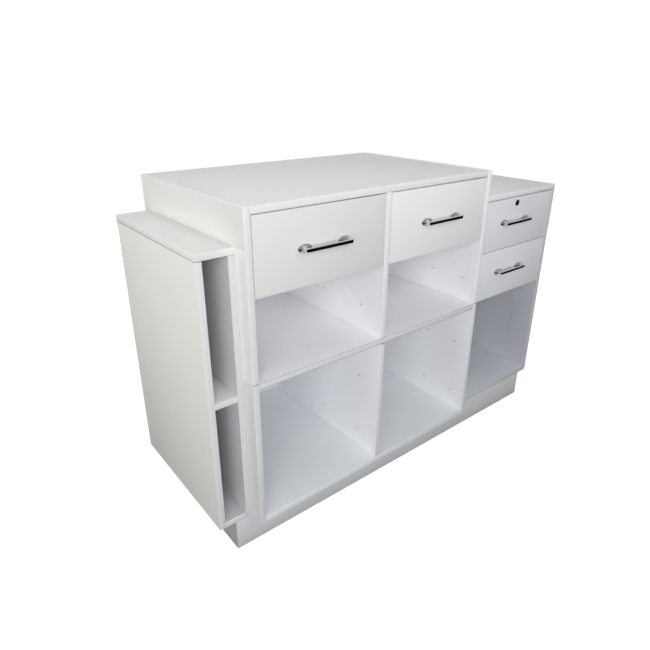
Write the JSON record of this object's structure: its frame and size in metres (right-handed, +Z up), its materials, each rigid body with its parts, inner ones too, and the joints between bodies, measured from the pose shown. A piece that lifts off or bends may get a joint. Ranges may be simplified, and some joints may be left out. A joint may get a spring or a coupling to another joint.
{
  "type": "modular shop counter",
  "caption": "White melamine shop counter: tall main unit with drawers over open shelves, narrow slotted wing on the left, lower lockable drawer unit on the right, all on one plinth.",
  "frame": {"origin": "on the floor, in the middle of the counter's plan, handles included", "axes": "+X to the right along the staff side, +Y towards the customer side, +Z up; the drawers open towards -Y"},
  "size_m": [1.488, 0.616, 1],
  "materials": {
    "white_melamine": "satin white melamine-faced board",
    "plinth_melamine": "satin pale grey melamine-faced board",
    "drawer_white": "matt white foil-wrapped board",
    "chrome": "polished chrome plate",
    "zinc_steel": "bright zinc-plated steel",
    "lock_plug": "black-finished steel"
  },
  "bodies": {
    "carcass": {"plinth_front": "plinth_melamine", "plinth_back": "plinth_melamine", "plinth_left_end": "plinth_melamine", "plinth_right_end": "plinth_melamine", "main_lower_left_side": "white_melamine", "main_lower_right_side": "white_melamine", "main_lower_bottom": "white_melamine", "main_lower_top": "white_melamine", "main_lower_divider": "white_melamine", "main_lower_back": "white_melamine", "main_upper_left_side": "white_melamine", "main_upper_right_side": "white_melamine", "main_upper_top": "white_melamine", "main_upper_divider": "white_melamine", "main_upper_back": "white_melamine", "wing_top": "white_melamine", "wing_left_side": "white_melamine", "wing_right_side": "white_melamine", "wing_shelf": "white_melamine", "wing_bottom": "white_melamine", "wing_back": "white_melamine", "drawer_unit_top": "white_melamine", "drawer_unit_left_side": "white_melamine", "drawer_unit_right_side": "white_melamine", "drawer_unit_bottom": "white_melamine", "drawer_unit_back": "white_melamine", "main_left_drawer_left_runner": "zinc_steel", "main_left_drawer_right_runner": "zinc_steel", "main_right_drawer_left_runner": "zinc_steel", "main_right_drawer_right_runner": "zinc_steel", "upper_drawer_left_runner": "zinc_steel", "upper_drawer_right_runner": "zinc_steel", "lower_drawer_left_runner": "zinc_steel", "lower_drawer_right_runner": "zinc_steel"},
    "main_left_drawer": {"main_left_drawer_front": "white_melamine", "main_left_drawer_wrap": "drawer_white", "main_left_drawer_bottom": "drawer_white", "main_left_drawer_handle": "chrome", "main_left_drawer_left_rail": "zinc_steel", "main_left_drawer_right_rail": "zinc_steel"},
    "main_right_drawer": {"main_right_drawer_front": "white_melamine", "main_right_drawer_wrap": "drawer_white", "main_right_drawer_bottom": "drawer_white", "main_right_drawer_handle": "chrome", "main_right_drawer_left_rail": "zinc_steel", "main_right_drawer_right_rail": "zinc_steel"},
    "upper_drawer": {"upper_drawer_front": "white_melamine", "upper_drawer_wrap": "drawer_white", "upper_drawer_bottom": "drawer_white", "upper_drawer_handle": "chrome", "upper_drawer_left_rail": "zinc_steel", "upper_drawer_right_rail": "zinc_steel", "lock_housing": "chrome"},
    "lower_drawer": {"lower_drawer_front": "white_melamine", "lower_drawer_wrap": "drawer_white", "lower_drawer_bottom": "drawer_white", "lower_drawer_handle": "chrome", "lower_drawer_left_rail": "zinc_steel", "lower_drawer_right_rail": "zinc_steel"},
    "lock": {"lock_plug": "lock_plug"}
  },
  "joints": [
    {"name": "main_left_drawer_slide", "type": "slide", "parent": "carcass", "child": "main_left_drawer", "axis": [0, -1, 0], "range_m": [0, 0.34]},
    {"name": "main_right_drawer_slide", "type": "slide", "parent": "carcass", "child": "main_right_drawer", "axis": [0, -1, 0], "range_m": [0, 0.34]},
    {"name": "upper_drawer_slide", "type": "slide", "parent": "carcass", "child": "upper_drawer", "axis": [0, -1, 0], "range_m": [0, 0.3]},
    {"name": "lower_drawer_slide", "type": "slide", "parent": "carcass", "child": "lower_drawer", "axis": [0, -1, 0], "range_m": [0, 0.3]},
    {"name": "lock_turn", "type": "hinge", "parent": "upper_drawer", "child": "lock", "pos_m": [0.50115, -0.232, 0.86], "axis": [0, -1, 0], "range_deg": [0, 90]}
  ]
}
